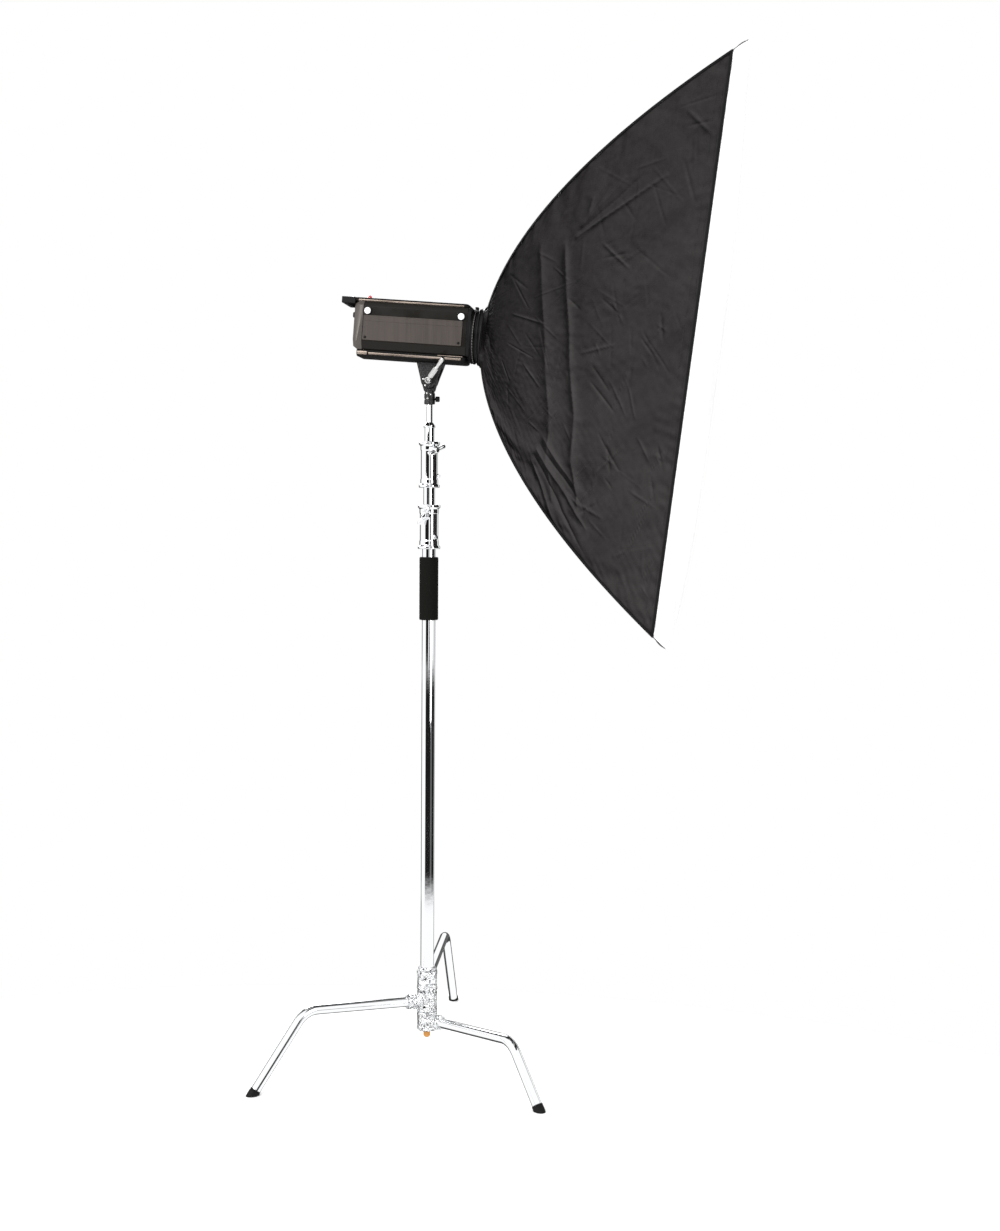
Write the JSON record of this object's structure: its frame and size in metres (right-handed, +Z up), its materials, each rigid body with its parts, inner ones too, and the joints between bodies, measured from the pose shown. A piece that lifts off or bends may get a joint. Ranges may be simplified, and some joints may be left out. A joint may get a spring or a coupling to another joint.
{
  "type": "studio softbox on a stand",
  "caption": "Tall rectangular softbox with a white front on a flash head, tilting on a chrome studio stand with bent legs and sliding risers.",
  "frame": {"origin": "bottom centre of the whole object's box, on the floor", "axes": "+Z up; +X the way the softbox points, seen from above; the tilt pin lies along Y"},
  "size_m": [1.1912, 0.9074, 2.5129],
  "materials": {
    "chrome": "polished chrome plate",
    "foot_rubber": "matte moulded rubber",
    "grip_foam": "closed-cell foam",
    "plug_plastic": "tan plastic",
    "hammered_paint": "dark hammered paint",
    "satin_metal": "satin metal",
    "spring_steel": "spring steel rod",
    "body_metal": "dark brown-black anodised extrusion",
    "side_panel_metal": "brushed warm grey panel",
    "rail_metal": "champagne anodised rail",
    "black_plastic": "fine moulded plastic",
    "ring_metal": "black anodised ring",
    "lamp_glass": "clear glass",
    "lamp_ceramic": "off-white ceramic base",
    "sensor_red": "clear red dome",
    "button_teal": "teal button",
    "black_fabric": "coated black nylon, silver inside",
    "white_fabric": "white translucent diffusion cloth"
  },
  "bodies": {
    "stand_base": {"column_tube": "chrome", "column_end_plug": "plug_plastic", "hub_casting_lower": "chrome", "leg_right": "chrome", "foot_right": "foot_rubber", "hub_collar": "chrome", "foam_grip": "grip_foam", "lower_clamp": "chrome"},
    "left_leg": {"hub_casting_middle": "chrome", "leg_left": "chrome", "foot_left": "foot_rubber"},
    "back_leg": {"hub_casting_upper": "chrome", "leg_back": "chrome", "foot_back": "foot_rubber"},
    "leg_lock": {"leg_lock_plunger": "chrome"},
    "lower_knob": {"lower_clamp_knob": "chrome"},
    "lower_riser": {"riser_lower_tube": "chrome", "upper_clamp": "chrome"},
    "upper_knob": {"upper_clamp_knob": "chrome"},
    "upper_riser": {"riser_upper_tube": "chrome", "stand_stud": "chrome"},
    "swivel": {"tilt_knuckle": "hammered_paint"},
    "swivel_knob": {"socket_knob": "black_plastic"},
    "flash_head": {"tilt_bracket": "hammered_paint", "tilt_bolt": "satin_metal", "lamp_casing": "body_metal", "rear_cover": "black_plastic", "side_panel_left": "side_panel_metal", "side_panel_right": "side_panel_metal", "top_rail": "black_plastic", "bottom_rail": "rail_metal", "rear_handle": "black_plastic", "slave_sensor": "sensor_red", "mains_inlet": "black_plastic", "capacitor_bank": "satin_metal", "front_bezel": "black_plastic", "lamp_base": "lamp_ceramic", "flash_tube": "lamp_glass", "modelling_bulb": "lamp_glass", "bayonet_adapter": "ring_metal"},
    "clamp_lever": {"tilt_lever": "satin_metal"},
    "flash_power_knob": {"power_dial": "black_plastic"},
    "model_lamp_knob": {"modelling_dial": "black_plastic"},
    "test_key": {"test_button": "button_teal"},
    "mains_rocker": {"power_switch": "black_plastic"},
    "fan": {"fan_rotor": "black_plastic"},
    "bayonet_latch": {"release_latch": "black_plastic"},
    "softbox": {"speedring": "ring_metal", "shell_top": "black_fabric", "shell_bottom": "black_fabric", "shell_left": "black_fabric", "shell_right": "black_fabric", "rod_top_left": "spring_steel", "rod_top_right": "spring_steel", "rod_bottom_left": "spring_steel", "rod_bottom_right": "spring_steel", "front_diffuser": "white_fabric", "inner_baffle": "white_fabric"},
    "ring_screw": {"ring_lock_screw": "black_plastic"}
  },
  "joints": [
    {"name": "left_leg_swing", "type": "hinge", "parent": "stand_base", "child": "left_leg", "pos_m": [-0.1988, -0.10367, 0.161], "axis": [0, 0, 1], "range_deg": [-20, 85]},
    {"name": "back_leg_swing", "type": "hinge", "parent": "stand_base", "child": "back_leg", "pos_m": [-0.1988, -0.10367, 0.216], "axis": [0, 0, 1], "range_deg": [-125, 20]},
    {"name": "leg_lock_pull", "type": "slide", "parent": "back_leg", "child": "leg_lock", "axis": [0, 0, 1], "range_m": [0, 0.008], "stiffness_N_per_m": 400, "springref_m": -0.004},
    {"name": "lower_clamp_turn", "type": "hinge", "parent": "stand_base", "child": "lower_knob", "pos_m": [-0.1988, -0.10367, 1.433], "axis": [-0.1736, -0.9848, 0], "range_deg": [-180, 90]},
    {"name": "lower_riser_slide", "type": "slide", "parent": "stand_base", "child": "lower_riser", "axis": [0, 0, 1], "range_m": [-0.042, 0.9]},
    {"name": "upper_clamp_turn", "type": "hinge", "parent": "lower_riser", "child": "upper_knob", "pos_m": [-0.1988, -0.10367, 1.6], "axis": [0.6157, -0.788, 0], "range_deg": [-180, 90]},
    {"name": "upper_riser_slide", "type": "slide", "parent": "lower_riser", "child": "upper_riser", "axis": [0, 0, 1], "range_m": [-0.034, 0.9]},
    {"name": "head_swivel", "type": "hinge", "parent": "upper_riser", "child": "swivel", "pos_m": [-0.1988, -0.10367, 1.735], "axis": [0, 0, 1], "continuous": true},
    {"name": "swivel_lock_turn", "type": "hinge", "parent": "swivel", "child": "swivel_knob", "pos_m": [-0.1988, -0.10367, 1.732], "axis": [0.9848, 0.1736, 0], "continuous": true},
    {"name": "head_tilt", "type": "hinge", "parent": "swivel", "child": "flash_head", "pos_m": [-0.1988, -0.10367, 1.779], "axis": [0, 1, 0], "range_deg": [-75, 30]},
    {"name": "tilt_lever_turn", "type": "hinge", "parent": "flash_head", "child": "clamp_lever", "pos_m": [-0.1988, -0.10367, 1.779], "axis": [0, 1, 0], "range_deg": [0, 100]},
    {"name": "flash_power_turn", "type": "hinge", "parent": "flash_head", "child": "flash_power_knob", "pos_m": [-0.38414, -0.12967, 1.94502], "axis": [-0.9973, 0, 0.0732], "range_deg": [-135, 135]},
    {"name": "modelling_lamp_turn", "type": "hinge", "parent": "flash_head", "child": "model_lamp_knob", "pos_m": [-0.38414, -0.07767, 1.94502], "axis": [-0.9973, 0, 0.0732], "range_deg": [-135, 135]},
    {"name": "test_button_press", "type": "slide", "parent": "flash_head", "child": "test_key", "axis": [0.9973, 0, -0.0732], "range_m": [0, 0.0015], "stiffness_N_per_m": 500, "springref_m": -0.001},
    {"name": "mains_rocker_tip", "type": "hinge", "parent": "flash_head", "child": "mains_rocker", "pos_m": [-0.38399, -0.11367, 1.87883], "axis": [0, 1, 0], "range_deg": [0, 10]},
    {"name": "fan_spin", "type": "hinge", "parent": "flash_head", "child": "fan", "pos_m": [-0.34751, -0.10367, 1.91125], "axis": [0.9973, 0, -0.0732], "continuous": true},
    {"name": "bayonet_release", "type": "slide", "parent": "flash_head", "child": "bayonet_latch", "axis": [0, 1, 0], "range_m": [0, 0.008], "stiffness_N_per_m": 300, "springref_m": -0.005},
    {"name": "softbox_rotation", "type": "hinge", "parent": "flash_head", "child": "softbox", "pos_m": [-0.06193, -0.10367, 1.88827], "axis": [0.9973, 0, -0.0732], "continuous": true},
    {"name": "ring_screw_turn", "type": "hinge", "parent": "softbox", "child": "ring_screw", "pos_m": [-0.06193, -0.10367, 1.88827], "axis": [-0.0518, 0.7071, -0.7052], "continuous": true}
  ]
}
